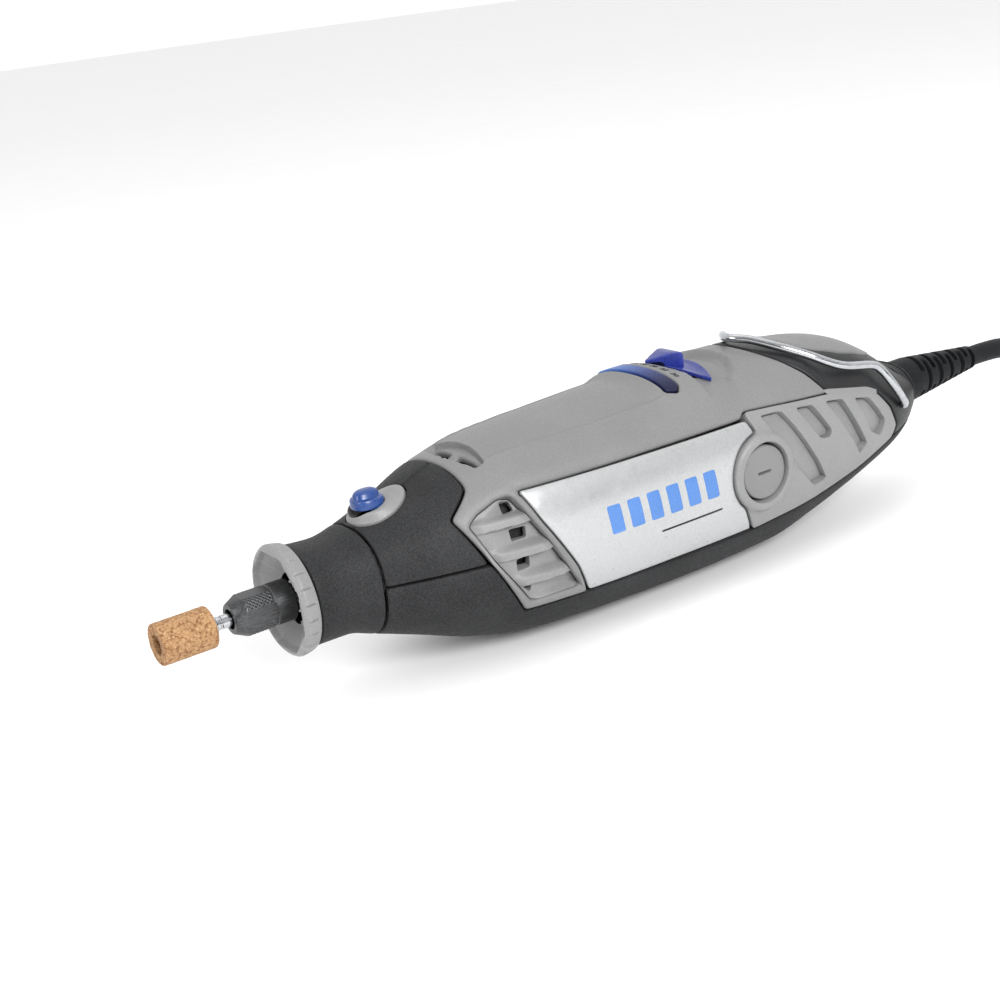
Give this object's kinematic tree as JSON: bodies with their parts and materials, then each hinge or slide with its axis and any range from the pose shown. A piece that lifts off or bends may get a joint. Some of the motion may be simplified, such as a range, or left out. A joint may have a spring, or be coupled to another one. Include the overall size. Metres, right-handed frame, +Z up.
{
  "type": "rotary hobby tool",
  "caption": "Corded rotary hobby tool with a grinding stone in its collet, spindle lock button, speed slider, vented housing, wire hanger, mains cord folded into a hank, and plug.",
  "frame": {"origin": "centre of the box round the tool without its cord, at the table that its belly lies on", "axes": "+X back along the spindle axis from the bit to the cord, +Y to the tool's left seen from behind the bit looking back, +Z up through the lock button"},
  "size_m": [0.5191, 0.052, 0.0546],
  "materials": {
    "soft_grip": "matte",
    "black_plastic": "satin",
    "grey_plastic": "satin",
    "light_grey_plastic": "satin",
    "silver_plate": "gloss",
    "blue_plastic": "gloss",
    "bright_steel": "polished",
    "plain_steel": "ground",
    "black_steel": "blackened",
    "abrasive_stone": "gritty",
    "copper": "enamelled",
    "brass": "satin",
    "carbon": "matte",
    "lamination": "matte",
    "board": "satin",
    "cord_rubber": "matte"
  },
  "bodies": {
    "housing": {"neck_housing": "soft_grip", "front_grip_upper": "soft_grip", "lower_housing": "soft_grip", "upper_housing": "grey_plastic", "rear_cover": "black_plastic", "rear_top_cover": "grey_plastic", "speed_scale": "blue_plastic", "lock_bezel": "light_grey_plastic", "lock_guide": "plain_steel", "lock_spring": "plain_steel", "side_plate_left": "silver_plate", "front_grille_left": "light_grey_plastic", "rear_panel_left": "light_grey_plastic", "carbon_brush_left": "carbon", "brush_holder_left": "brass", "brush_spring_left": "plain_steel", "side_plate_right": "silver_plate", "front_grille_right": "light_grey_plastic", "rear_panel_right": "light_grey_plastic", "carbon_brush_right": "carbon", "brush_holder_right": "brass", "brush_spring_right": "plain_steel", "spindle_bearing_outer": "bright_steel", "motor_bearing_front": "bright_steel", "motor_bearing_rear": "bright_steel", "field_core": "lamination", "field_coil_top": "copper", "field_coil_bottom": "copper", "control_board": "board", "speed_switch": "black_plastic", "cord_clamp": "black_plastic", "strain_relief": "cord_rubber", "belly_screw_1": "plain_steel", "belly_screw_2": "plain_steel", "power_cord": "cord_rubber", "cord_hank": "cord_rubber", "cord_tail": "cord_rubber", "plug_body": "black_plastic", "plug_pin_left": "bright_steel", "plug_pin_right": "bright_steel"},
    "rotor": {"spindle": "plain_steel", "collet": "plain_steel", "spindle_bearing_inner": "bright_steel", "drive_coupling": "black_plastic", "motor_shaft": "plain_steel", "cooling_fan": "black_plastic", "armature_core": "lamination", "winding_front": "copper", "winding_rear": "copper", "commutator": "copper"},
    "collet_nut": {"collet_nut": "black_steel"},
    "bit": {"bit_shank": "bright_steel", "grinding_stone": "abrasive_stone"},
    "nose_cap": {"nose_cap": "light_grey_plastic"},
    "lock_button": {"lock_button": "blue_plastic", "lock_pin": "plain_steel"},
    "speed_slider": {"speed_slider": "blue_plastic"},
    "hanger": {"hanger": "bright_steel"},
    "brush_cap_left": {"brush_cap_left": "grey_plastic"},
    "brush_cap_right": {"brush_cap_right": "grey_plastic"}
  },
  "joints": [
    {"name": "spindle_spin", "type": "hinge", "parent": "housing", "child": "rotor", "pos_m": [-0.03715, 0, 0.026], "axis": [1, 0, 0], "continuous": true},
    {"name": "collet_nut_turn", "type": "hinge", "parent": "rotor", "child": "collet_nut", "pos_m": [-0.10215, 0, 0.026], "axis": [1, 0, 0], "range_deg": [0, 360]},
    {"name": "bit_slide", "type": "slide", "parent": "rotor", "child": "bit", "axis": [-1, 0, 0], "range_m": [0, 0.015]},
    {"name": "nose_cap_turn", "type": "hinge", "parent": "housing", "child": "nose_cap", "pos_m": [-0.09515, 0, 0.026], "axis": [1, 0, 0], "range_deg": [0, 360]},
    {"name": "lock_button_press", "type": "slide", "parent": "housing", "child": "lock_button", "axis": [0, 0, -1], "range_m": [0, 0.0024], "stiffness_N_per_m": 600, "springref_m": -0.001},
    {"name": "speed_slider_travel", "type": "hinge", "parent": "housing", "child": "speed_slider", "pos_m": [0.01885, 0, 0.012], "axis": [1, 0, 0], "range_deg": [-9, 9]},
    {"name": "hanger_swing", "type": "hinge", "parent": "housing", "child": "hanger", "pos_m": [0.07935, 0, 0.0272], "axis": [0, 1, 0], "range_deg": [0, 140]},
    {"name": "brush_cap_left_turn", "type": "hinge", "parent": "housing", "child": "brush_cap_left", "pos_m": [0.02305, 0.024, 0.026], "axis": [0, 1, 0], "range_deg": [0, 360]},
    {"name": "brush_cap_right_turn", "type": "hinge", "parent": "housing", "child": "brush_cap_right", "pos_m": [0.02305, -0.024, 0.026], "axis": [0, -1, 0], "range_deg": [0, 360]}
  ]
}
